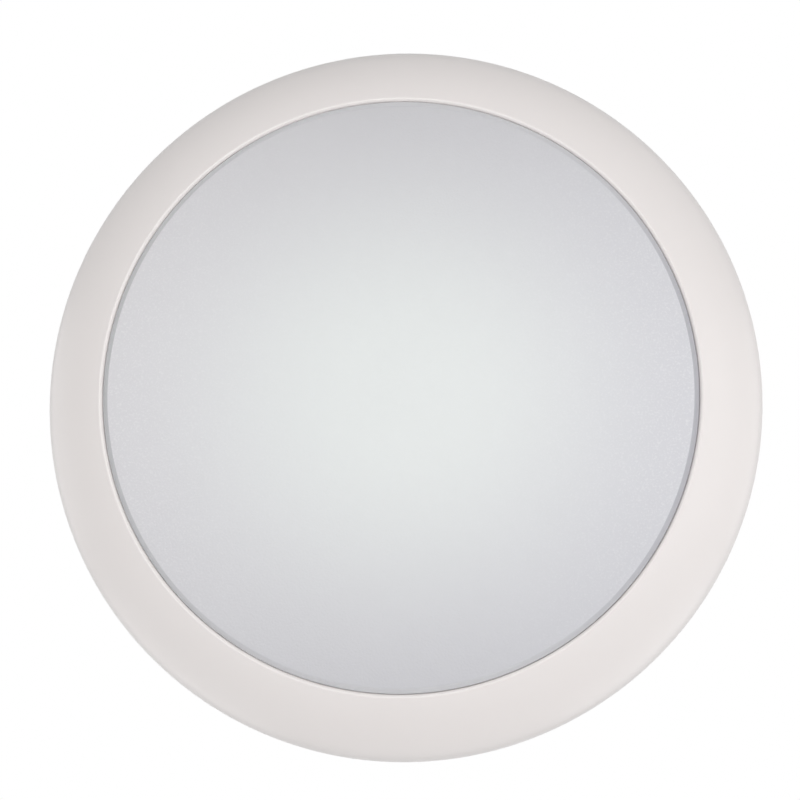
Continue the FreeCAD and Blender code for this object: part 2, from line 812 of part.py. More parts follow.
def make_led_connector():
    """The socket on the board with its two lead holes, which face the middle."""
    body = block("led_socket_body", "0", "plug_y", "led_front", "plug_length", "plug_width", "plug_height")
    holes = []
    for side in ("-plug_length / 4", "plug_length / 4"):
        holes.append(cross_rod("led_socket_hole", side, "plug_y + plug_width / 2", "plug_middle",
                               "lead_radius + seal_gap", "plug_width"))
    return node(cut("led_connector", body, holes), "led_connector")


def make_transformer():
    """The transformer on the driver board: a coil between two flanges, on a core that reaches past them."""
    depths = {"bobbin_foot": "driver_parts_depth", "bobbin_top": "bobbin_top_depth"}
    flanges = [block(name, "0", "driver_y", depth, "transformer_size - coil_inset", "transformer_size",
                     "bobbin_thick") for name, depth in depths.items()]
    coil_box = block("coil_box", "0", "driver_y", "driver_parts_depth + bobbin_thick / 2",
                     "transformer_size - 2 * coil_inset", "transformer_size - 2 * coil_inset",
                     "bobbin_top_depth - driver_parts_depth")
    coil = rounded("coil", coil_box, "coil_round")
    core = block("core", "0", "driver_y", "driver_parts_depth + bobbin_thick / 2", "transformer_size",
                 "core_width", "transformer_high - bobbin_thick / 2")
    return node(joined("driver_transformer", [*flanges, coil, core]), "driver_transformer")


def make_capacitors():
    """The two round capacitors on the driver board, crimped near the foot and stepped at the end."""
    foot = rod("capacitor_foot", "0", "0", "driver_parts_depth", "capacitor_radius", "crimp_place")
    core = rod("capacitor_core", "0", "0", "driver_parts_depth + crimp_place / 2",
               "capacitor_radius - crimp_deep", "capacitor_high - crimp_place / 2")
    sleeve = rod("capacitor_sleeve", "0", "0", "driver_parts_depth + crimp_place + crimp_high",
                 "capacitor_radius", "capacitor_high - crimp_place - crimp_high - crimp_deep")
    can = joined("capacitor_pattern", [foot, core, sleeve])
    return copies("driver_capacitors", can, pair_spots("component_pitch", "driver_y"))


def make_driver():
    """The closed plastic driver on the base floor, with its board and the tallest components."""
    outer_box = block("driver_outer_box", "0", "driver_y", "floor_depth", "driver_length", "driver_width",
                      "driver_case_high")
    outer = rounded("driver_outer", outer_box, "driver_round")
    ears = block("driver_ears", "0", "driver_y", "floor_depth + ear_boss_rise",
                 "driver_length + 2 * ear_length", "ear_width", "ear_thick")
    hollow = block("driver_hollow", "0", "driver_y", "floor_depth + driver_wall",
                   "driver_length - 2 * driver_wall", "driver_width - 2 * driver_wall", "driver_height")
    shell_tools = [hollow]
    for side in ("-driver_ear_x", "driver_ear_x"):
        shell_tools.append(rod("driver_ear_hole", side, "driver_y", "floor_depth", "screw_hole",
                               "driver_height"))
    shell = cut("driver_shell", joined("driver_blank", [outer, ears]), shell_tools)
    posts = []
    lead_holes = []
    for along in (-1, 1):
        for across in (-1, 1):
            x = f"{along} * (driver_length / 2 - driver_wall - driver_post_inset)"
            y = f"driver_y + {across} * (driver_width / 2 - driver_wall - driver_post_inset)"
            posts.append(rod("driver_post", x, y, "floor_depth + driver_wall / 2", "driver_post",
                             "driver_board_rise - driver_wall / 2"))
            x = f"{along} * driver_length / 2"
            y = f"driver_y + {across} * driver_lead_offset"
            lead_holes.append(block("driver_lead_hole", x, y, "driver_lead_depth - driver_lead_slot / 2",
                                    "4 * driver_wall", "driver_lead_slot", "driver_lead_slot"))
    case = joined("driver_case_solid", [shell] + posts)
    node(cut("driver_case", case, lead_holes), "driver_case")

    lid_box = block("driver_lid_box", "0", "driver_y", "floor_depth + driver_case_high", "driver_length",
                    "driver_width", "driver_wall")
    node(rounded("driver_lid", lid_box, "driver_round"), "driver_lid")
    inside = "2 * driver_wall + 2 * hole_play"
    node(block("driver_board", "0", "driver_y", "driver_board_depth", f"driver_length - ({inside})",
               f"driver_width - ({inside})", "board_thick"), "driver_board")
    make_transformer()
    make_capacitors()
    grip = "ear_boss_rise + ear_thick"
    fastener = screw("driver_screw_pattern", f"floor_depth + {grip}", grip)
    copies("driver_screws", fastener, pair_spots("driver_ear_x", "driver_y"))


def pole_places():
    """The x places of the terminal's poles, as formulas."""
    count = int(value("pole_count"))
    return [f"({index} - (pole_count - 1) / 2) * pole_pitch" for index in range(count)]


def make_terminal_block():
    """The insulating body, and in it a brass clamp with its screw for each pole."""
    body = block("terminal_body", "0", "terminal_y", "floor_depth", "terminal_length", "terminal_width",
                 "terminal_height")
    tools = []
    for x in pole_places():
        tools.append(block("terminal_cell", x, "terminal_y", "floor_depth", "clamp_side + 2 * seal_gap",
                           "clamp_length + 2 * seal_gap", "clamp_rise + clamp_side + seal_gap"))
        tools.append(cross_rod("terminal_way", x, "terminal_y", "clamp_middle", "clamp_bore",
                               "2 * terminal_width"))
        tools.append(rod("terminal_well", x, "terminal_y", "clamp_middle", "terminal_well",
                         "terminal_height"))
    node(cut("terminal_block", body, tools), "terminal_block")

    clamp_block = block("clamp_block", "0", "0", "clamp_depth", "clamp_side", "clamp_length", "clamp_side")
    clamp_way = cross_rod("clamp_way", "0", "0", "clamp_middle", "clamp_bore", "2 * clamp_length")
    clamp_thread = rod("clamp_thread", "0", "0", "clamp_middle", "terminal_screw + screw_play", "clamp_side")
    clamp = cut("clamp_pattern", clamp_block, [clamp_way, clamp_thread])
    spots = [(value(x), value("terminal_y"), 0) for x in pole_places()]
    copies("terminal_clamps", clamp, spots)
    tip = "clamp_middle + lead_radius + seal_gap"
    pin_length = "clamp_side / 2 + screw_head_high"
    pin = rod("terminal_pin", "0", "0", tip, "terminal_screw", pin_length)
    slot = block("terminal_slot", "0", "0", f"{tip} + {pin_length} - screw_slot_deep", "4 * terminal_screw",
                 "screw_slot", "2 * screw_slot_deep")
    copies("terminal_screws", cut("terminal_screw_pattern", pin, [slot]), spots)


def make_earth_point():
    """The earth tag on the back of the tray, its screw and the nut on the front."""
    tag_plate = rod("tag_plate", "earth_x", "earth_y", "tray_depth - tag_thick", "tag_radius", "tag_thick")
    tag_tail = block("tag_tail", "earth_x + tag_radius", "earth_y", "tray_depth - tag_thick",
                     "2 * tag_radius", "tag_radius", "tag_thick")
    tag_hole = rod("tag_hole", "earth_x", "earth_y", "tray_depth - 2 * tag_thick", "earth_shank + hole_play",
                   "4 * tag_thick")
    node(cut("earth_tag", joined("tag_blank", [tag_plate, tag_tail]), [tag_hole]), "earth_tag")

    head = rod("earth_head", "earth_x", "earth_y", "tray_depth - tag_thick - screw_head_high", "earth_head",
               "screw_head_high")
    shank = rod("earth_shank", "earth_x", "earth_y", "tray_depth - tag_thick", "earth_shank",
                "tag_thick + tray_thick + nut_high + screw_head_high / 2")
    node(joined("earth_screw", [head, shank]), "earth_screw")

    prism = doc.addObject("Part::Prism", "nut_prism")
    prism.Polygon = 6
    bind(prism, Circumradius="nut_radius", Height="nut_high")
    bind(prism, Placement__Base__x="earth_x", Placement__Base__y="earth_y")
    bind(prism, Placement__Base__z="-(tray_front + nut_high)")
    thread = rod("nut_thread", "earth_x", "earth_y", "tray_front", "earth_shank + screw_play", "nut_high")
    node(cut("earth_nut", prism, [thread]), "earth_nut")


def dial_places():
    """The x places of the dials, from the end of the sensor inwards, as formulas."""
    return [f"dial_first_x - {index} * dial_pitch" for index in range(len(DIAL_NAMES))]


def make_sensor():
    """The radar sensor on the front of the tray: case, cover, board and what is soldered to it."""
    outer_box = block("sensor_outer_box", "0", "0", "tray_front", "sensor_length", "sensor_width",
                      "sensor_height")
    outer = rounded("sensor_outer", outer_box, "sensor_round")
    ears = block("sensor_ears", "0", "0", "tray_front", "2 * ear_reach", "ear_width", "ear_thick")
    hollow = block("sensor_hollow", "0", "0", "tray_front + sensor_wall", "sensor_length - 2 * sensor_wall",
                   "sensor_width - 2 * sensor_wall", "2 * sensor_height")
    tools = [hollow]
    for side in ("-sensor_ear_x", "sensor_ear_x"):
        tools.append(rod("sensor_ear_hole", side, "0", "tray_front - ear_thick", "screw_hole",
                         "4 * ear_thick"))
    for slot in (-1, 0, 1):
        x = f"lead_hole_x + {slot} * sensor_lead_pitch"
        tools.append(cross_rod("sensor_lead_hole", x, "-sensor_width / 2", "sensor_lead_depth",
                               "lead_radius + seal_gap", "4 * sensor_wall"))
    shell = cut("sensor_shell", joined("sensor_blank", [outer, ears]), tools)
    posts = []
    for along in (-1, 1):
        for across in (-1, 1):
            x = f"{along} * (sensor_length / 2 - sensor_wall - sensor_post_inset)"
            y = f"{across} * (sensor_width / 2 - sensor_wall - sensor_post_inset)"
            posts.append(rod("sensor_post", x, y, "tray_front + sensor_wall / 2", "sensor_post",
                             "sensor_board_rise - sensor_wall / 2"))
    node(joined("sensor_case", [shell] + posts), "sensor_case")

    lid_box = block("sensor_lid_box", "0", "0", "cover_depth", "sensor_length", "sensor_width", "cover_thick")
    lid = rounded("sensor_lid", lid_box, "sensor_round")
    openings = [rod("dial_hole", x, "0", "cover_depth - cover_thick", "dial_bore", "4 * cover_thick")
                for x in dial_places()]
    openings.append(rod("eye_hole", "eye_x", "eye_y", "cover_depth - cover_thick", "eye_radius + hole_play",
                        "4 * cover_thick"))
    node(cut("sensor_cover", lid, openings), "sensor_cover")

    inside = "2 * sensor_wall + 2 * hole_play"
    node(block("sensor_board", "0", "0", "sensor_board_depth", f"sensor_length - ({inside})",
               f"sensor_width - ({inside})", "board_thick"), "sensor_board")
    can_box = block("can_box", "can_x", "0", "sensor_parts_depth", "can_size", "can_size", "can_high")
    window = block("can_window", "can_x", "0", "sensor_parts_depth + can_high - can_window_deep",
                   "can_size - 2 * can_frame", "can_size - 2 * can_frame", "can_high")
    node(cut("radar_can", rounded("can_shell", can_box, "can_round"), [window]), "radar_can")
    trimmer_box = block("trimmer_box", "0", "0", "sensor_parts_depth", "trimmer_size", "trimmer_size",
                        "trimmer_high")
    trimmer_bore = rod("trimmer_bore", "0", "0", "sensor_parts_depth + trimmer_high / 2", "dial_bore",
                       "trimmer_high")
    trimmer = cut("trimmer_pattern", trimmer_box, [trimmer_bore])
    copies("trimmer_bodies", trimmer, [(value(x), 0, 0) for x in dial_places()])
    node(rod("daylight_eye", "eye_x", "eye_y", "sensor_parts_depth", "eye_radius",
             "cover_front - sensor_parts_depth + eye_proud"), "daylight_eye")
    fastener = screw("sensor_screw_pattern", "tray_front + ear_thick", "screw_length / 2 + ear_thick")
    copies("sensor_screws", fastener, pair_spots("sensor_ear_x", "0"))


def make_dials():
    """The setting dials, each a stem in its trimmer and a slotted cap in front of the cover."""
    stem_end = "sensor_parts_depth + trimmer_high / 2 + dial_float"
    cap = "cover_front + dial_float"
    for label, x in zip(DIAL_NAMES, dial_places()):
        body = new_body(label)
        turned(body, [
            ("0", f"-({stem_end})"),
            ("dial_stem", f"-({stem_end})"),
            ("dial_stem", f"-({cap})"),
            ("dial_radius", f"-({cap})"),
            ("dial_radius", f"-({cap} + dial_high)"),
            ("0", f"-({cap} + dial_high)"),
        ])
        slot = sketch(body, "XY_Plane", f"{cap} + dial_high")
        rectangle(slot, "-dial_radius / 2", "2 * dial_radius", "-dial_slot / 2", "dial_slot / 2")
        pocket(body, slot, "dial_slot_deep", down=False)
        bind(body, Placement__Base__x=x)
        node(body, label)


def make_diffuser():
    """The frosted cover: shallow dome, bevelled edge, short wall and the flange that is clamped."""
    body = new_body("diffuser")
    inner = "diffuser_radius - diffuser_wall"
    dome_back = "dome_depth - diffuser_wall"
    turned(body, [
        ("0", "-(dome_depth + dome_rise)", "(dome_radius ^ 2 + dome_rise ^ 2) / (2 * dome_rise)", 1),
        ("dome_radius", "-dome_depth"),
        ("diffuser_radius", "-(dome_depth - bevel_height)"),
        ("diffuser_radius", "-flange_front"),
        ("flange_radius", "-flange_front"),
        ("flange_radius", "-flange_back"),
        (inner, "-flange_back"),
        (inner, f"-({dome_back})", f"(({inner}) ^ 2 + dome_rise ^ 2) / (2 * dome_rise)", -1),
        ("0", f"-({dome_back} + dome_rise)"),
    ])
    return node(body, "diffuser")


def shell_depth(radius, inset):
    """How deep the ring's crown lies at a radius, a given way inside its outer face."""
    return f"crown_centre_depth + sqrt((crown_radius - {inset}) ^ 2 - ({radius} - crown_centre) ^ 2)"


def blend_point(inset):
    """Where the ring's shoulder meets its crown, a given way inside its outer face."""
    radius = f"shoulder_centre + (shoulder_radius - {inset}) * sin(blend_angle)"
    depth = f"skirt_depth + (shoulder_radius - {inset}) * cos(blend_angle)"
    return radius, f"-({depth})"


def make_trim_ring():
    """The moulded ring: curved face, rolled lip, clamp rib, guide wall, webs and twist-lock lugs."""
    body = new_body("trim_ring")
    lip_back = "-(lip_depth - lip_height)"
    lip_outer = "(lip_radius + ring_wall)"
    turned(body, [
        ("ring_radius", "-ring_back"),
        ("ring_radius", "-skirt_depth", "shoulder_radius", -1),
        (*blend_point("0"), "crown_radius", -1),
        ("face_inner", "-lip_depth", "lip_round", -1),
        ("lip_radius", "-(lip_depth - lip_round)"),
        ("lip_radius", lip_back),
        (lip_outer, lip_back),
        (lip_outer, f"-({shell_depth(lip_outer, 'ring_wall')})", "crown_radius - ring_wall", 1),
        (*blend_point("ring_wall"), "shoulder_radius - ring_wall", 1),
        ("ring_radius - ring_wall", "-skirt_depth"),
        ("ring_radius - ring_wall", "-ring_back"),
    ])
    root = "ring_wall / 2"
    clamp_end = f"{shell_depth('clamp_inner', 'ring_wall')} + {root}"
    turned(body, [
        ("clamp_inner", "-(flange_front + seal_gap)"),
        ("clamp_inner + clamp_width", "-(flange_front + seal_gap)"),
        ("clamp_inner + clamp_width", f"-({clamp_end})"),
        ("clamp_inner", f"-({clamp_end})"),
    ])
    guide_end = f"{shell_depth('guide_inner', 'ring_wall')} + {root}"
    turned(body, [
        ("guide_inner", "-guide_back"),
        ("guide_outer", "-guide_back"),
        ("guide_outer", f"-({guide_end})"),
        ("guide_inner", f"-({guide_end})"),
    ])
    web_inner = "(guide_outer - guide_wall / 2)"
    web = outline(sketch(body, "XZ_Plane"), [
        (web_inner, "-web_back"),
        (f"ring_radius - {root}", "-web_back"),
        (f"ring_radius - {root}", "-skirt_depth", f"shoulder_radius - {root}", -1),
        (*blend_point(root), f"crown_radius - {root}", -1),
        (web_inner, f"-({shell_depth(web_inner, root)})"),
    ])
    around(body, pad(body, web, "web_thick", both_ways=True), "web_count")
    lug = sketch(body, "XY_Plane", "lug_depth", "ramp_tilt")
    sector(lug, "base_radius + lock_radial_gap", "guide_inner + guide_wall / 2", "-lug_half_angle",
           "lug_half_angle")
    around(body, pad(body, lug, "lug_thick", down=False), "lug_count")
    return node(body, "trim_ring")


# Leads: each starts and ends on the pieces that it joins, along a hand-laid route between them

def spot(x, y, depth):
    return (value(x), value(y), value(depth))


def laid(*points):
    """Hand-laid points between the ends, given in the routes' unit."""
    unit = value("route_unit")
    return [tuple(number * unit for number in point) for point in points]


def at_pole(index, shift="0"):
    """In a terminal clamp and just outside it, on the side away from the cable entry."""
    x = f"{pole_places()[index]} + {shift}"
    outside = "terminal_y - terminal_width / 2 - lead_stub"
    return [spot(x, "terminal_y - lead_grip", "clamp_middle"), spot(x, outside, "clamp_middle")]


def at_driver(end, across):
    """Just outside an end of the driver and through its wall."""
    y = f"driver_y + {across} * driver_lead_offset"
    outside = f"{end} * (driver_length / 2 + lead_stub)"
    inside = f"{end} * (driver_length / 2 - driver_wall - lead_grip)"
    return [spot(outside, y, "driver_lead_depth"), spot(inside, y, "driver_lead_depth")]


def at_sensor(slot):
    """Just outside the sensor's lead side and through its wall."""
    x = f"lead_hole_x + {slot} * sensor_lead_pitch"
    outside = "-(sensor_width / 2 + lead_stub)"
    inside = "-(sensor_width / 2 - sensor_wall)"
    return [spot(x, outside, "sensor_lead_depth"), spot(x, inside, "sensor_lead_depth")]


def at_plug(side):
    """Just outside the socket on the LED board and in it."""
    x = f"{side} * plug_length / 4"
    outside = "plug_y + plug_width / 2 + lead_stub"
    return [spot(x, outside, "plug_middle"), spot(x, "plug_y + lead_grip", "plug_middle")]


def at_earth():
    """Beside the earth tag and on its tail."""
    depth = "tray_depth - tag_thick - lead_radius - seal_gap / 2"
    return [spot("earth_x + 2 * tag_radius + lead_stub", "earth_y", depth),
            spot("earth_x + tag_radius + lead_grip", "earth_y", depth)]


ROUTES = {
    "live_lead": at_pole(2) + laid(
        (18, -88, 16.5), (32, -90, 19), (42, -80, 21.5), (42, -66, 24), (33, -56, 25.8), (21, -52, 26.2),
        (12.5, -48, 26.4), (9.1, -41.5, 29.2), (8.6, -35, 33.2),
    ) + at_sensor(-1),
    "sensor_neutral_lead": at_pole(1, "lead_pair_offset") + laid(
        (9, -91, 15.2), (24, -98, 16), (40, -95, 17.5), (51, -84, 19.5), (53, -69, 21.5), (46, -56, 23.5),
        (34, -49, 24.8), (22, -48.4, 25.6), (13.8, -45, 27), (12, -38.4, 31.2),
    ) + at_sensor(0),
    "switched_lead": list(reversed(at_sensor(1))) + laid(
        (17.6, -38.5, 34.7), (16, -43, 31.2), (15.8, -43, 26.2), (17, -39.5, 22.8), (24, -31, 22),
        (34, -20, 21.6), (46, -9, 21), (56, 6, 20.5), (62, 22, 20.2), (62, 38, 20), (58, 48, 20),
    ) + at_driver(1, -1),
    "neutral_lead": at_pole(1, "-lead_pair_offset") + laid(
        (5, -94, 15), (22, -104.5, 15.4), (44, -103, 16.2), (64, -92, 17.2), (80, -74, 18.5), (90, -50, 19.6),
        (92, -26, 20), (88, -2, 20), (83, 20, 20), (77, 40, 20), (67, 56, 20),
    ) + at_driver(1, 1),
    "earth_lead": at_pole(0) + laid(
        (-16, -86, 16.8), (-26, -92, 20), (-36, -95, 24.5),
    ) + at_earth(),
    "led_positive_lead": list(reversed(at_driver(-1, -1))) + laid(
        (-60, 47, 20.2), (-66, 32, 20.6), (-66, 12, 21), (-57, -6, 21.4), (-43, -18, 22), (-29, -26, 22.8),
        (-18.5, -31.5, 25), (-13.6, -36.4, 29.2), (-8.5, -39.8, 33.6), (-1.8, -42.8, 35.7),
    ) + at_plug(1),
    "led_negative_lead": list(reversed(at_driver(-1, 1))) + laid(
        (-63, 58, 20.2), (-72, 44, 20.6), (-75, 24, 21), (-70, 3, 21.4), (-58, -14, 21.8), (-43, -26, 22.4),
        (-29, -33, 23.6), (-20.5, -36.4, 26), (-17.2, -39, 29.6), (-13.2, -42.4, 33.7), (-6.6, -45, 35.6),
    ) + at_plug(-1),
}
ARC_SHARE = 0.45
VOLUME_TOLERANCE = 0.01


def lead_path(points):
    """Straight runs joined by tangent arcs, each as large as its two runs allow; also the least radius."""
    corners = [FreeCAD.Vector(x, y, -depth) for x, y, depth in points]
    edges = []
    radii = []
    start = corners[0]
    for before, corner, after in zip(corners, corners[1:], corners[2:]):
        back = (before - corner).normalize()
        ahead = (after - corner).normalize()
        half_turn = (math.pi - back.getAngle(ahead)) / 2
        reach = ARC_SHARE * min((before - corner).Length, (after - corner).Length)
        radius = reach / math.tan(half_turn)
        inward = (back + ahead).normalize()
        middle = corner + inward * (radius / math.cos(half_turn) - radius)
        edges.append(Part.LineSegment(start, corner + back * reach).toShape())
        edges.append(Part.Arc(corner + back * reach, middle, corner + ahead * reach).toShape())
        start = corner + ahead * reach
        radii.append(radius)
    edges.append(Part.LineSegment(start, corners[-1]).toShape())
    return Part.Wire(edges), min(radii)


def make_leads():
    """A round insulated lead along each route, its volume compared with its section and length."""
    radius = value("lead_radius")
    for label, points in ROUTES.items():
        path, least_radius = lead_path(points)
        first = FreeCAD.Vector(points[0][0], points[0][1], -points[0][2])
        second = FreeCAD.Vector(points[1][0], points[1][1], -points[1][2])
        section = Part.Wire([Part.makeCircle(radius, first, second - first)])
        tube = path.makePipeShell([section], True, False)
        expected = math.pi * radius ** 2 * path.Length
        if abs(tube.Volume / expected - 1) > VOLUME_TOLERANCE:
            raise RuntimeError(f"{label} isn't a plain tube")
        lead = doc.addObject("Part::Feature", label)
        lead.Shape = tube
        lead.Placement = FreeCAD.Placement()
        node(lead, label)
        print(label, "length", round(path.Length, 1), "least radius", round(least_radius, 1))


make_base_housing()
make_cable_grommet()
make_fixing_washers()
make_perimeter_gasket()
make_gear_tray()
make_tray_grommets()
make_tray_screws()
make_led_board()
make_led_chips()
make_led_board_screws()
make_led_connector()
make_driver()
make_terminal_block()
make_earth_point()
make_sensor()
make_dials()
make_leads()
make_diffuser()
make_trim_ring()

# Recompute, test every object and write one file for each piece
doc.recompute()
for item in doc.Objects:
    if "Invalid" in item.State or "Error" in item.State:
        raise RuntimeError(f"{item.Name} failed: {item.State}")
for item in NODES:
    if item.Shape.isNull() or not item.Shape.isValid():
        raise RuntimeError(f"{item.Label} has no valid shape")
os.makedirs("parts", exist_ok=True)
for item in NODES:
    item.Shape.exportStep(f"parts/{item.Label}.step")
print(len(NODES), "pieces")
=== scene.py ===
# Looks of the round ceiling light: a material for every piece, its ring and its diffuser in fine mesh, plain
# studio light, and a camera that looks up from below. The ceiling is the plane z = 0 and the diffuser faces
# down. Units are metres, but the sizes and outlines of the two fine pieces are in mm.
import bmesh
import bpy
import json
import math
from mathutils import Matrix, Vector


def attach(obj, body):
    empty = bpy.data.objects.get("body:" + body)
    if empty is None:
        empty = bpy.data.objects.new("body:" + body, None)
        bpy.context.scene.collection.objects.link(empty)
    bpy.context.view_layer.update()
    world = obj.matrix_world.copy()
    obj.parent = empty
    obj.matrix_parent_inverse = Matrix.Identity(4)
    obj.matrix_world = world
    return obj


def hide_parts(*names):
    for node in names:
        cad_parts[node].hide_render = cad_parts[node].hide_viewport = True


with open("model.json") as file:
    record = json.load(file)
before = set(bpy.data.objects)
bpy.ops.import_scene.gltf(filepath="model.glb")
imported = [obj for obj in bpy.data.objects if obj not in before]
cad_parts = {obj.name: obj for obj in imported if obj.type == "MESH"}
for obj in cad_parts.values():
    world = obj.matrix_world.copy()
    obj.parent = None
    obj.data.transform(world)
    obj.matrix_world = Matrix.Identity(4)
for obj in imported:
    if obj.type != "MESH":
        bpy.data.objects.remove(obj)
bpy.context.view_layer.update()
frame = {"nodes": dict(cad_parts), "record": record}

SCENE = bpy.context.scene
MILLI = 0.001

# Sizes of the trim ring, in mm and degrees
RING_RADIUS = 165.0
FACE_WIDTH = 31.5
RING_BACK = 4.0
RING_WALL = 2.5
LIP_DEPTH = 49.0
LIP_ROUND = 1.6
LIP_HEIGHT = 5.0
SHOULDER_RADIUS = 20.0
CROWN_RADIUS = 60.0
BLEND_ANGLE = 40.0
CLAMP_INSET = 5.0
CLAMP_WIDTH = 2.5
GUIDE_WALL = 2.0
GUIDE_BACK = 12.0
WEB_THICK = 1.6
WEB_BACK = 9.0
WEB_COUNT = 16

# Twist lock between the ring and the base, in mm and degrees
SKIRT_ROOM = 15.0
LUG_COUNT = 4
LUG_HALF_ANGLE = 5.0
LUG_THICK = 3.0
LUG_DEPTH = 16.0
RAMP_WIDTH = 2.6
TWIST_ANGLE = 22.0
COVER_DROP = 2.0
LOCK_RADIAL_GAP = 0.6

# Sizes of the diffuser and of the seal behind it, in mm
LIP_GAP = 0.2
DIFFUSER_WALL = 2.0
BEVEL_WIDTH = 2.4
BEVEL_HEIGHT = 1.6
DIFFUSER_PROUD = 0.6
DOME_RISE = 6.0
FLANGE_THICK = 2.5
FLANGE_INSET = 1.0
SEAT_DEPTH = 34.0
GASKET_PROUD = 1.0
SEAL_GAP = 0.1

# The fine mesh: how far edges are eased, in mm, the steps of each curve, and the angle that shows as an edge
EDGE_EASE = 0.3
EASE_STEPS = 4
LIP_STEPS = 14
CROWN_STEPS = 30
SHOULDER_STEPS = 16
DOME_STEPS = 48
LUG_STEPS = 8
SEGMENTS = 240
AXIS_RADIUS = 0.001  # a smaller radius counts as on the axis
SHARP_ANGLE = 12.0

# Sizes that follow from these
LIP_RADIUS = RING_RADIUS - FACE_WIDTH
FACE_INNER = LIP_RADIUS + LIP_ROUND
BASE_RADIUS = RING_RADIUS - SKIRT_ROOM
LUG_INNER = BASE_RADIUS + LOCK_RADIAL_GAP
GUIDE_INNER = BASE_RADIUS + RAMP_WIDTH + LOCK_RADIAL_GAP
GUIDE_MIDDLE = GUIDE_INNER + GUIDE_WALL / 2
RAMP_SLOPE = COVER_DROP / (math.radians(TWIST_ANGLE) * (BASE_RADIUS + RAMP_WIDTH / 2))
DIFFUSER_RADIUS = LIP_RADIUS - LIP_GAP
DOME_RADIUS = DIFFUSER_RADIUS - BEVEL_WIDTH
DOME_DEPTH = LIP_DEPTH + DIFFUSER_PROUD
CLAMP_INNER = DIFFUSER_RADIUS + CLAMP_INSET
FLANGE_BACK = SEAT_DEPTH + GASKET_PROUD + SEAL_GAP
FLANGE_FRONT = FLANGE_BACK + FLANGE_THICK
FLANGE_RADIUS = BASE_RADIUS - FLANGE_INSET

# Centres of the ring's two arcs, as (radius, depth), from the tangent blend between them
BLEND_SINE, BLEND_COSINE = math.sin(math.radians(BLEND_ANGLE)), math.cos(math.radians(BLEND_ANGLE))
BLEND_GAP = CROWN_RADIUS - SHOULDER_RADIUS
CROWN_CENTRE_RADIUS = RING_RADIUS - SHOULDER_RADIUS - BLEND_GAP * BLEND_SINE
LIP_REACH = FACE_INNER - CROWN_CENTRE_RADIUS
CROWN_CENTRE = (CROWN_CENTRE_RADIUS, LIP_DEPTH - math.sqrt(CROWN_RADIUS ** 2 - LIP_REACH ** 2))
SHOULDER_CENTRE = (RING_RADIUS - SHOULDER_RADIUS, CROWN_CENTRE[1] + BLEND_GAP * BLEND_COSINE)

# Stage, lamps and camera, in metres, watts and degrees
AMBIENT_LEVEL = 0.15
FLOOR_DEPTH = 2.4
FLOOR_HALF_WIDTH = 6.0
MIDDLE = Vector((0, 0, -0.030))
LAMPS = {  # spot, side and power
    "front_lamp": ((0.0, 0.0, -1.7), 1.6, 22.3),
    "right_lamp": ((-1.1, 0.0, -0.9), 1.0, 3.8),
    "far_left_lamp": ((1.4, 0.0, 0.25), 1.0, 3.2),
    "far_right_lamp": ((-1.4, 0.0, 0.25), 1.0, 2.9),
    "far_low_lamp": ((0.0, -1.4, 0.25), 1.0, 1.8),
    "low_left_lamp": ((1.0, -1.0, 0.25), 1.0, 3.6),
    "low_right_lamp": ((-1.0, -1.0, 0.25), 1.0, 3.7),
    "back_lamp": ((0.3, -0.5, 1.6), 1.2, 14.0),
}
UNMIRRORED_LAMPS = ("back_lamp",)  # they light the piece but don't show in its gloss
CAMERA_TARGET = MIDDLE - Vector((0, 0.0021, 0))
CAMERA_TILT = 8.46
CAMERA_TURN = 25.8
CAMERA_DISTANCE = 0.668
CAMERA_LENS = 65.6  # mm


def srgb(red, green, blue):
    """A linear colour from screen levels of 0 to 255."""
    def linear(level):
        share = level / 255
        return share / 12.92 if share <= 0.04045 else ((share + 0.055) / 1.055) ** 2.4
    return (linear(red), linear(green), linear(blue), 1.0)


def shaded(colour, factor):
    """A colour made darker or lighter by a factor."""
    return tuple(min(channel * factor, 1.0) for channel in colour[:3]) + (1.0,)


# Node helpers

def add(tree, kind, inputs=None, **settings):
    """A new node with its settings made and its inputs set, or linked where a socket is given."""
    item = tree.nodes.new(kind)
    for name, setting in settings.items():
        setattr(item, name, setting)
    for name, source in (inputs or {}).items():
        if isinstance(source, bpy.types.NodeSocket):
            tree.links.new(source, item.inputs[name])
        else:
            item.inputs[name].default_value = source
    return item


def new_material(name, **values):
    """A material, its tree and its main shader with constant values set."""
    material = bpy.data.materials.new(name)
    material.use_nodes = True
    tree = material.node_tree
    shader = tree.nodes["Principled BSDF"]
    for key, number in values.items():
        shader.inputs[key.replace("_", " ")].default_value = number
    return material, tree, shader


def place(tree):
    """The point on the piece, in metres."""
    return add(tree, "ShaderNodeTexCoord").outputs["Object"]


def along(tree, direction, reach):
    """How far a point lies along a direction: 0 at the axis, 1 at the given reach."""
    inputs = {0: place(tree), 1: tuple(Vector(direction).normalized() / reach)}
    return add(tree, "ShaderNodeVectorMath", inputs, operation="DOT_PRODUCT").outputs["Value"]


def noise(tree, size, detail=2.0, stretch=(1, 1, 1)):
    """Soft noise from 0 to 1 whose spots are about the given size across."""
    point = add(tree, "ShaderNodeMapping", {"Vector": place(tree), "Scale": stretch}).outputs["Vector"]
    inputs = {"Vector": point, "Scale": 1 / size, "Detail": detail}
    return add(tree, "ShaderNodeTexNoise", inputs).outputs["Fac"]


def wave(tree, spacing, distortion=0.0, detail=2.0, **settings):
    """Waves from 0 to 1, a given spacing apart."""
    repeat = math.pi / 10  # metres, at a scale of 1
    return add(tree, "ShaderNodeTexWave", {
        "Vector": place(tree), "Scale": repeat / spacing, "Distortion": distortion, "Detail": detail,
    }, **settings).outputs["Fac"]


def combine(tree, first, second, operation="MULTIPLY"):
    """Two numbers made one, as a product unless another operation is named."""
    return add(tree, "ShaderNodeMath", {0: first, 1: second}, operation=operation).outputs["Value"]


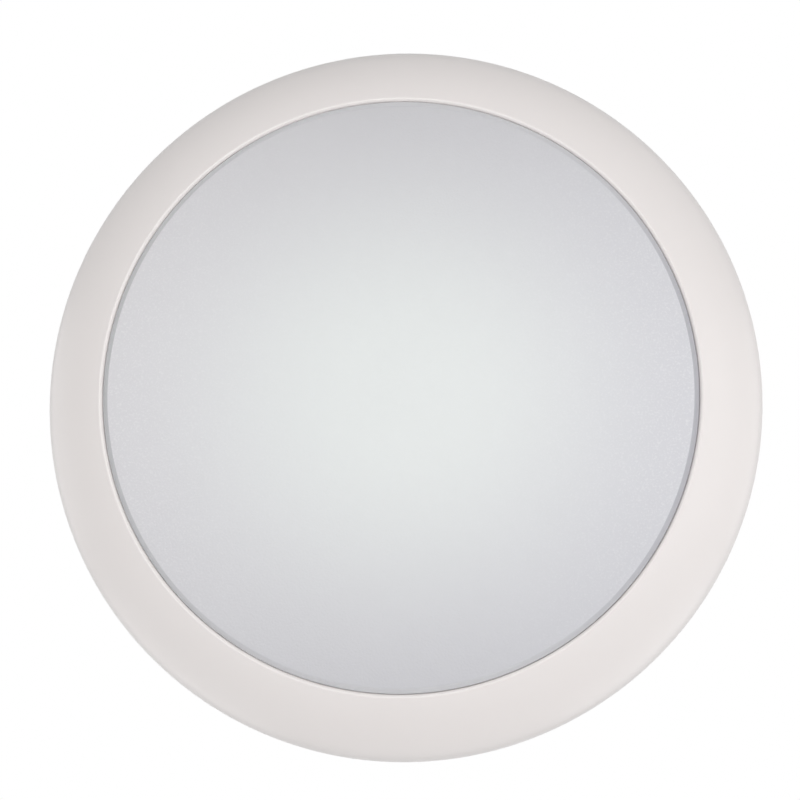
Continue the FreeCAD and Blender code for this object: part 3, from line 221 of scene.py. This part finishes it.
def between(tree, share, first, last, blend_type="MIX"):
    """A colour between two colours or sockets, by a share from 0 to 1."""
    inputs = {0: share, 6: first, 7: last}
    return add(tree, "ShaderNodeMix", inputs, data_type="RGBA", blend_type=blend_type).outputs[2]


def remap(tree, share, old=(0, 1), new=(0, 1), smooth=False):
    """A number moved from one range to another, and held within it."""
    return add(tree, "ShaderNodeMapRange", {
        "Value": share, "From Min": old[0], "From Max": old[1], "To Min": new[0], "To Max": new[1],
    }, interpolation_type="SMOOTHSTEP" if smooth else "LINEAR").outputs["Result"]


def paint(tree, shader, colour):
    """Make a socket the shader's colour."""
    tree.links.new(colour, shader.inputs["Base Color"])


def raised(tree, shader, height, rise):
    """Bump of the given rise, in metres."""
    bump = add(tree, "ShaderNodeBump", {"Height": height, "Distance": rise, "Strength": 1.0})
    tree.links.new(bump.outputs["Normal"], shader.inputs["Normal"])


# Materials, one function for each kind of surface

def moulded(name, colour, roughness=0.45, grain=0.6 * MILLI, spread=0.02):
    """Moulded plastic: a spark-eroded grain, slow drifts of tone and uneven gloss."""
    gloss_swing = 0.06
    material, tree, shader = new_material(name)
    drift = noise(tree, size=45 * MILLI, detail=3.0)
    paint(tree, shader, between(tree, drift, shaded(colour, 1 - spread), shaded(colour, 1 + spread)))
    patches = noise(tree, size=8 * MILLI, detail=3.0)
    gloss = remap(tree, patches, new=(roughness - gloss_swing, roughness + gloss_swing))
    tree.links.new(gloss, shader.inputs["Roughness"])
    raised(tree, shader, noise(tree, size=grain), rise=0.006 * MILLI)
    return material


def frosted(name):
    """Frosted cover with a fine pebble grain, with light and shade painted into its colour: a painted glow in
    the middle, where white parts lie close behind it, painted shade towards the edge, the ends and the
    bevel's sides, one side painted darker than the other, and painted glints near the sides.
    """
    # the middle's tone is a painted glow, standing for light through the cover from the white parts behind it
    middle = srgb(228, 231, 230.5)
    # painted shade towards the edge, one side painted darker than the other as the light falls
    shaded_side_tones = srgb(212, 212, 217), srgb(221, 220, 223)
    painted_end_shade = (0.86, 0.86, 0.86, 1)
    # the bevel's painted shade, deeper at the sides, and painted light at the top and bottom ends
    bevel_shaded_side_tones = srgb(183, 183, 189), srgb(201, 202, 204)
    bevel_lit_end = srgb(211, 211, 214)
    # white of the painted glints
    glint_colour = srgb(255, 255, 255)
    # the way across the cover from the side painted darker to the side painted lighter
    light_lean = (0.87, 0.5, 0)  # from the duller side to the brighter one
    glow_share = 0.15  # of the face's radius
    edge_blur = 0.0007  # of the face's radius
    reach = DOME_RADIUS * MILLI
    material, tree, shader = new_material(
        name, Roughness=0.42, Subsurface_Weight=0.4, Subsurface_Scale=2 * MILLI, Subsurface_Radius=(1, 1, 1))

    side, upright = along(tree, (1, 0, 0), reach), along(tree, (0, 1, 0), reach)
    side_square, upright_square = combine(tree, side, side), combine(tree, upright, upright)
    radius = combine(tree, combine(tree, side_square, upright_square, "ADD"), 1 / 2, "POWER")
    light_slant = remap(tree, along(tree, light_lean, reach), old=(-1, 1))

    # painted glow in the middle, fading outwards into the painted shade of the edge
    outwards = remap(tree, radius, old=(glow_share, 1), smooth=True)
    # the edge's painted shade, darker on one side than the other
    face = between(tree, outwards, middle, between(tree, light_slant, *shaded_side_tones))
    # painted shade towards the top and bottom ends
    face = between(tree, upright_square, face, painted_end_shade, blend_type="MULTIPLY")
    # painted glints: bright specks, strongest towards the left and right sides
    glint_specks = remap(tree, noise(tree, size=0.9 * MILLI, detail=1.0), old=(0.5, 0.8), new=(0, 0.25))
    face = between(tree, combine(tree, glint_specks, side_square), face, glint_colour)
    # the bevel's colour: painted shade at the sides, painted light at the ends
    bevel = between(tree, upright_square, between(tree, light_slant, *bevel_shaded_side_tones), bevel_lit_end)
    past_edge = remap(tree, radius, old=(1 - edge_blur, 1 + edge_blur))
    paint(tree, shader, between(tree, past_edge, face, bevel))
    raised(tree, shader, noise(tree, size=1.0 * MILLI, detail=1.0), rise=0.08 * MILLI)
    return material


def rubber(name, colour):
    """Dull rubber with a chalky bloom."""
    material, tree, shader = new_material(name, Roughness=0.8)
    bloom = remap(tree, noise(tree, size=6 * MILLI, detail=4.0), old=(0.45, 0.75), smooth=True)
    paint(tree, shader, between(tree, bloom, colour, shaded(colour, 1.35)))
    raised(tree, shader, noise(tree, size=0.4 * MILLI), rise=0.01 * MILLI)
    return material


def metal(name, colour, roughness=0.32):
    """Plated or bright metal with fine drawn lines and cloudy gloss."""
    material, tree, shader = new_material(name, Metallic=1.0)
    cloud = noise(tree, size=3 * MILLI, detail=3.0)
    paint(tree, shader, between(tree, cloud, shaded(colour, 0.88), shaded(colour, 1.08)))
    gloss = remap(tree, cloud, new=(roughness - 0.1, roughness + 0.12))
    tree.links.new(gloss, shader.inputs["Roughness"])
    raised(tree, shader, noise(tree, size=0.5 * MILLI, stretch=(1, 1, 12)), rise=0.004 * MILLI)
    return material


def powder_coat(name, colour):
    """Powder coat: a low orange peel over steel."""
    material, tree, shader = new_material(name, Roughness=0.38)
    paint(tree, shader, between(tree, noise(tree, size=60 * MILLI), shaded(colour, 0.98), colour))
    raised(tree, shader, noise(tree, size=1.6 * MILLI, detail=1.0), rise=0.02 * MILLI)
    return material


def circuit_board(name, mask, track, patterns):
    """Solder mask over copper: tracks of two patterns, in patches, show as another tone and a slight rise."""
    material, tree, shader = new_material(name, Roughness=0.3)
    first, second = (remap(tree, wave(tree, spacing, **settings), old=(0.78, 0.84))
                     for spacing, settings in patterns)
    patch = remap(tree, noise(tree, size=14 * MILLI, detail=0.0), old=(0.49, 0.51))
    tracks = add(tree, "ShaderNodeMix", {0: patch, 2: first, 3: second}).outputs[0]
    paint(tree, shader, between(tree, tracks, mask, track))
    raised(tree, shader, tracks, rise=0.03 * MILLI)
    return material


def phosphor(name, gel, case):
    """Light source: yellow gel on the face that shines down, white case on the sides."""
    material, tree, shader = new_material(name, Roughness=0.35)
    normal = add(tree, "ShaderNodeNewGeometry").outputs["Normal"]
    upwards = add(tree, "ShaderNodeSeparateXYZ", {"Vector": normal}).outputs["Z"]
    front = remap(tree, upwards, old=(-0.9, -0.5), new=(1, 0))
    grain = remap(tree, noise(tree, size=0.3 * MILLI), old=(0.3, 0.7), new=(0.8, 1))
    paint(tree, shader, between(tree, combine(tree, front, grain), case, gel))
    return material


def wound(name, colour):
    """Tape wound round a component, with the edge of each turn showing."""
    material, tree, shader = new_material(name, Roughness=0.4)
    turns = wave(tree, 1.745 * MILLI, distortion=0.4, detail=1.0, bands_direction="Z", wave_profile="SAW")
    paint(tree, shader, between(tree, turns, shaded(colour, 0.8), colour))
    raised(tree, shader, turns, rise=0.05 * MILLI)
    return material


def insulation(name, colour, stripe=None):
    """Lead insulation: glossy, faintly uneven, with a second colour in bands where it has one."""
    material, tree, shader = new_material(name, Roughness=0.35)
    if stripe is None:
        tone = between(tree, noise(tree, size=4 * MILLI), shaded(colour, 0.85), shaded(colour, 1.12))
    else:
        bands = wave(tree, 5.71 * MILLI, distortion=0.6, detail=0.0, bands_direction="DIAGONAL")
        tone = between(tree, remap(tree, bands, old=(0.45, 0.55)), colour, stripe)
    paint(tree, shader, tone)
    raised(tree, shader, noise(tree, size=1.2 * MILLI), rise=0.02 * MILLI)
    return material


def resin(name, colour):
    """Dark clear resin, cloudy in its depth."""
    material, tree, shader = new_material(name, Roughness=0.12)
    paint(tree, shader, between(tree, noise(tree, size=2 * MILLI, detail=4.0), colour, shaded(colour, 1.8)))
    raised(tree, shader, noise(tree, size=3 * MILLI), rise=0.02 * MILLI)
    return material


ROUND_TRACKS = [(spacing * MILLI, {"wave_type": "RINGS", "rings_direction": "Z"}) for spacing in (4.4, 11.0)]
STRAIGHT_TRACKS = [(spacing * MILLI, {"bands_direction": axis}) for spacing, axis in ((1.6, "X"), (2.2, "Y"))]

SURFACES = {
    "ring_plastic": (moulded, {"colour": srgb(235.2, 230, 228.4), "roughness": 0.34, "spread": 0.008}),
    "diffuser_plastic": (frosted, {}),
    "base_plastic": (moulded, {"colour": srgb(228, 225, 220), "roughness": 0.5, "grain": 0.9 * MILLI}),
    "seal_rubber": (rubber, {"colour": srgb(58, 58, 60)}),
    "seal_silicone": (rubber, {"colour": srgb(196, 196, 192)}),
    "tray_paint": (powder_coat, {"colour": srgb(242, 242, 240)}),
    "screw_steel": (metal, {"colour": srgb(198, 199, 202)}),
    "contact_brass": (metal, {"colour": srgb(214, 176, 96), "roughness": 0.28}),
    "board_white": (circuit_board, {
        "mask": srgb(240, 240, 238), "track": srgb(229, 230, 229), "patterns": ROUND_TRACKS}),
    "chip_phosphor": (phosphor, {"gel": srgb(240, 205, 70), "case": srgb(238, 238, 234)}),
    "socket_plastic": (moulded, {"colour": srgb(232, 228, 212)}),
    "driver_plastic": (moulded, {"colour": srgb(232, 232, 230)}),
    "board_green": (circuit_board, {
        "mask": srgb(20, 92, 52), "track": srgb(48, 130, 78), "patterns": STRAIGHT_TRACKS}),
    "component_tape": (wound, {"colour": srgb(214, 172, 40)}),
    "component_sleeve": (moulded, {"colour": srgb(26, 30, 48), "roughness": 0.25, "spread": 0.2}),
    "terminal_plastic": (moulded, {"colour": srgb(222, 221, 212)}),
    "sensor_plastic": (moulded, {"colour": srgb(236, 236, 233)}),
    "can_metal": (metal, {"colour": srgb(204, 204, 203), "roughness": 0.4}),
    "trimmer_plastic": (moulded, {"colour": srgb(36, 62, 124), "spread": 0.1}),
    "dial_plastic": (moulded, {"colour": srgb(222, 128, 40), "spread": 0.06}),
    "eye_resin": (resin, {"colour": srgb(52, 40, 32)}),
    "lead_brown": (insulation, {"colour": srgb(104, 64, 36)}),
    "lead_blue": (insulation, {"colour": srgb(36, 92, 176)}),
    "lead_green": (insulation, {"colour": srgb(64, 140, 56), "stripe": srgb(222, 204, 60)}),
    "lead_grey": (insulation, {"colour": srgb(128, 128, 130)}),
    "lead_red": (insulation, {"colour": srgb(184, 32, 28)}),
    "lead_black": (insulation, {"colour": srgb(28, 28, 30)}),
}
MATERIALS = {slot: make(slot, **look) for slot, (make, look) in SURFACES.items()}


def dress_nodes():
    """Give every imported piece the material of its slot."""
    for row in frame["record"]["subparts"]:
        piece = frame["nodes"][row["node"]]
        for slot in piece.material_slots:
            slot.material = MATERIALS[row["material_slot"]]


# The ring and the diffuser in fine mesh: the solids' own shapes, with edges eased as a mould eases them.
# Outlines are in mm, as (radius, depth below the ceiling) or (radius, depth, reach of the easing).

def arc(centre, radius, first, last, steps):
    """Points on an arc, by angles in degrees from straight down; 90 is outwards."""
    angles = [math.radians(first + (last - first) * step / steps) for step in range(steps + 1)]
    return [(centre[0] + radius * math.sin(angle), centre[1] + radius * math.cos(angle)) for angle in angles]


def eased(corners):
    """A closed outline with those of its corners that have a reach rounded over it."""
    outline = []
    for index, corner in enumerate(corners):
        point = Vector(corner[:2])
        if len(corner) == 2:
            outline.append(point)
            continue
        before = Vector(corners[index - 1][:2])
        after = Vector(corners[(index + 1) % len(corners)][:2])
        start = point + (before - point).normalized() * corner[2]
        end = point + (after - point).normalized() * corner[2]
        for step in range(EASE_STEPS + 1):
            share = step / EASE_STEPS
            outline.append(start.lerp(point, share).lerp(point.lerp(end, share), share))
    return outline


def at(radius, depth, angle):
    """A point in metres from a radius and depth in mm and an angle round the axis in radians."""
    return Vector((radius * math.cos(angle), radius * math.sin(angle), -depth)) * MILLI


def lathe(mesh, outline):
    """Turn a closed outline round the upright axis; a point on the axis stays one point."""
    rings = []
    for radius, depth in outline:
        count = 1 if radius < AXIS_RADIUS else SEGMENTS
        rings.append([mesh.verts.new(at(radius, depth, math.tau * k / SEGMENTS)) for k in range(count)])
    for index, ring in enumerate(rings):
        previous = rings[index - 1]
        if len(ring) == len(previous) == 1:
            continue
        for k in range(SEGMENTS):
            corners = [loop[(k + shift) % len(loop)] for loop, shift in
                       ((previous, 0), (ring, 0), (ring, 1), (previous, 1))]
            mesh.faces.new(list(dict.fromkeys(corners)))


def hoop(mesh, inner, outer, back, front):
    """A plain upright hoop."""
    lathe(mesh, [(inner, back), (outer, back), (outer, front), (inner, front)])


def slabs(mesh, front, back, count):
    """Closed solids between two outlines with the same number of points, repeated round the axis."""
    for copy in range(count):
        turn = Matrix.Rotation(math.tau * copy / count, 4, "Z")
        faces = [[mesh.verts.new(turn @ point) for point in outline] for outline in (front, back)]
        mesh.faces.new(faces[0])
        mesh.faces.new(list(reversed(faces[1])))
        for k in range(len(front)):
            following = (k + 1) % len(front)
            mesh.faces.new((faces[0][k], faces[1][k], faces[1][following], faces[0][following]))


def shell_arcs(inset, start_radius):
    """The ring's crown and then its shoulder, a given way inside its face, from a radius outwards."""
    start = math.degrees(math.asin((start_radius - CROWN_CENTRE[0]) / (CROWN_RADIUS - inset)))
    crown = arc(CROWN_CENTRE, CROWN_RADIUS - inset, start, BLEND_ANGLE, CROWN_STEPS)
    return crown + arc(SHOULDER_CENTRE, SHOULDER_RADIUS - inset, BLEND_ANGLE, 90, SHOULDER_STEPS)[1:]


def fill_ring(mesh):
    """The trim ring: shell with its lip, clamp rib, guide wall, webs and lugs, each rooted in the shell."""
    lip_back = LIP_DEPTH - LIP_HEIGHT
    lip_outer = LIP_RADIUS + RING_WALL
    lathe(mesh, eased([
        (lip_outer, lip_back, EDGE_EASE),
        (LIP_RADIUS, lip_back, EDGE_EASE),
        *arc((FACE_INNER, LIP_DEPTH - LIP_ROUND), LIP_ROUND, -90, 0, LIP_STEPS),
        *shell_arcs(0, FACE_INNER)[1:],
        (RING_RADIUS, RING_BACK, EDGE_EASE),
        (RING_RADIUS - RING_WALL, RING_BACK, EDGE_EASE),
        *reversed(shell_arcs(RING_WALL, lip_outer)),
    ]))
    root = RING_WALL / 2
    clamp_front, guide_front = (shell_arcs(root, radius)[0][1] for radius in (CLAMP_INNER, GUIDE_INNER))
    hoop(mesh, CLAMP_INNER, CLAMP_INNER + CLAMP_WIDTH, FLANGE_FRONT + SEAL_GAP, clamp_front)
    hoop(mesh, GUIDE_INNER, GUIDE_INNER + GUIDE_WALL, GUIDE_BACK, guide_front)

    web_front = reversed(shell_arcs(root, GUIDE_MIDDLE))
    web = [(GUIDE_MIDDLE, WEB_BACK), (RING_RADIUS - root, WEB_BACK), *web_front]
    web_sides = ([Vector((radius, side, -depth)) * MILLI for radius, depth in web]
                 for side in (WEB_THICK / 2, -WEB_THICK / 2))
    slabs(mesh, *web_sides, count=WEB_COUNT)

    half = math.radians(LUG_HALF_ANGLE)
    angles = [half * (2 * step / LUG_STEPS - 1) for step in range(LUG_STEPS + 1)]
    sector = [(LUG_INNER, angle) for angle in angles] + [(GUIDE_MIDDLE, angle) for angle in reversed(angles)]
    lug_faces = ([at(radius, depth - RAMP_SLOPE * radius * math.sin(angle), angle)
                  for radius, angle in sector] for depth in (LUG_DEPTH, LUG_DEPTH - LUG_THICK))
    slabs(mesh, *lug_faces, count=LUG_COUNT)


def dome(radius, depth):
    """A shallow dome's outline from its tip to its edge, which has the given radius and depth."""
    curve = (radius ** 2 + DOME_RISE ** 2) / (2 * DOME_RISE)
    return arc((0, depth + DOME_RISE - curve), curve, 0, math.degrees(math.asin(radius / curve)), DOME_STEPS)


def fill_diffuser(mesh):
    """The diffuser: shallow dome, bevel, wall and flange."""
    inner = DIFFUSER_RADIUS - DIFFUSER_WALL
    lathe(mesh, eased([
        *dome(DOME_RADIUS, DOME_DEPTH)[:-1],
        (DOME_RADIUS, DOME_DEPTH, EDGE_EASE),
        (DIFFUSER_RADIUS, DOME_DEPTH - BEVEL_HEIGHT, EDGE_EASE / 2),
        (DIFFUSER_RADIUS, FLANGE_FRONT),
        (FLANGE_RADIUS, FLANGE_FRONT, EDGE_EASE),
        (FLANGE_RADIUS, FLANGE_BACK, EDGE_EASE),
        (inner, FLANGE_BACK, EDGE_EASE),
        *reversed(dome(inner, DOME_DEPTH - DIFFUSER_WALL)),
    ]))


def united(data):
    """A mesh whose overlapping closed shapes are made one."""
    holder = bpy.data.objects.new("overlapping", data)
    SCENE.collection.objects.link(holder)
    union = holder.modifiers.new("union", "BOOLEAN")
    union.operation = "UNION"
    union.solver = "EXACT"
    union.operand_type = "COLLECTION"
    union.use_self = True
    whole = bpy.data.meshes.new_from_object(holder.evaluated_get(bpy.context.evaluated_depsgraph_get()))
    bpy.data.objects.remove(holder)
    return whole


def make_piece(name, fill, body, node, slot, overlaps=False):
    """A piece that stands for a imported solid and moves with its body; shapes that overlap are made one."""
    mesh = bmesh.new()
    fill(mesh)
    bmesh.ops.recalc_face_normals(mesh, faces=mesh.faces[:])
    data = bpy.data.meshes.new(name)
    mesh.to_mesh(data)
    mesh.free()
    if overlaps:
        data = united(data)
    data.shade_smooth()
    data.set_sharp_from_angle(angle=math.radians(SHARP_ANGLE))
    data.materials.append(MATERIALS[slot])
    piece = bpy.data.objects.new(name, data)
    SCENE.collection.objects.link(piece)
    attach(piece, body)
    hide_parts(node)


# Stage, light and camera

def background_share(tree):
    """1 for rays that should see the plain background: from the camera, a reflection or through glass."""
    path = add(tree, "ShaderNodeLightPath")
    seen = path.outputs["Is Camera Ray"]
    for other in ("Is Glossy Ray", "Is Transmission Ray"):
        seen = combine(tree, seen, path.outputs[other], "MAXIMUM")
    return seen


def make_world():
    """White where it is seen, a soft level where it lights."""
    world = bpy.data.worlds.new("studio")
    world.use_nodes = True
    tree = world.node_tree
    shader = tree.nodes["Background"]
    shader.inputs["Color"].default_value = (1, 1, 1, 1)
    strength = remap(tree, background_share(tree), new=(AMBIENT_LEVEL, 1))
    tree.links.new(strength, shader.inputs["Strength"])
    SCENE.world = world


def make_floor():
    """A plain pale floor far below the light, white where it is seen."""
    mesh = bpy.data.meshes.new("floor")
    corners = [(x * FLOOR_HALF_WIDTH, y * FLOOR_HALF_WIDTH, -FLOOR_DEPTH)
               for x, y in ((-1, -1), (1, -1), (1, 1), (-1, 1))]
    mesh.from_pydata(corners, [], [(0, 1, 2, 3)])
    floor = bpy.data.objects.new("floor", mesh)
    SCENE.collection.objects.link(floor)
    material, tree, shader = new_material("floor_paint", Roughness=0.9)
    paint(tree, shader, between(tree, noise(tree, size=0.4), srgb(232, 232, 231), srgb(236, 236, 235)))
    glow = add(tree, "ShaderNodeEmission")
    mix = add(tree, "ShaderNodeMixShader", {
        0: background_share(tree), 1: shader.outputs["BSDF"], 2: glow.outputs["Emission"]})
    tree.links.new(mix.outputs["Shader"], tree.nodes["Material Output"].inputs["Surface"])
    mesh.materials.append(material)


def make_lamps():
    """Square soft lamps turned to the middle of the light."""
    for name, (spot, side, power) in LAMPS.items():
        data = bpy.data.lights.new(name, "AREA")
        data.shape = "SQUARE"
        data.size = side
        data.energy = power
        lamp = bpy.data.objects.new(name, data)
        lamp.location = spot
        lamp.rotation_mode = "QUATERNION"
        lamp.rotation_quaternion = (MIDDLE - Vector(spot)).to_track_quat("-Z", "Y")
        lamp.visible_camera = False
        lamp.visible_glossy = name not in UNMIRRORED_LAMPS
        SCENE.collection.objects.link(lamp)


def make_camera():
    """A camera below the light, tilted off its axis; the top of the picture is +Y."""
    tilt, turn = math.radians(CAMERA_TILT), math.radians(CAMERA_TURN)
    away = Vector((-math.sin(tilt) * math.sin(turn), -math.sin(tilt) * math.cos(turn), -math.cos(tilt)))
    right = Vector((0, 1, 0)).cross(away).normalized()
    above = away.cross(right)
    data = bpy.data.cameras.new("camera")
    data.lens = CAMERA_LENS
    camera = bpy.data.objects.new("camera", data)
    turned = Matrix((right, above, away)).transposed().to_4x4()
    camera.matrix_world = Matrix.Translation(CAMERA_TARGET + away * CAMERA_DISTANCE) @ turned
    SCENE.collection.objects.link(camera)
    SCENE.camera = camera


dress_nodes()
make_piece("ring_moulding", fill_ring, "ring", "trim_ring", "ring_plastic", overlaps=True)
make_piece("diffuser_moulding", fill_diffuser, "diffuser", "diffuser", "diffuser_plastic")
make_world()
make_floor()
make_lamps()
make_camera()
SCENE.view_settings.view_transform = "Standard"
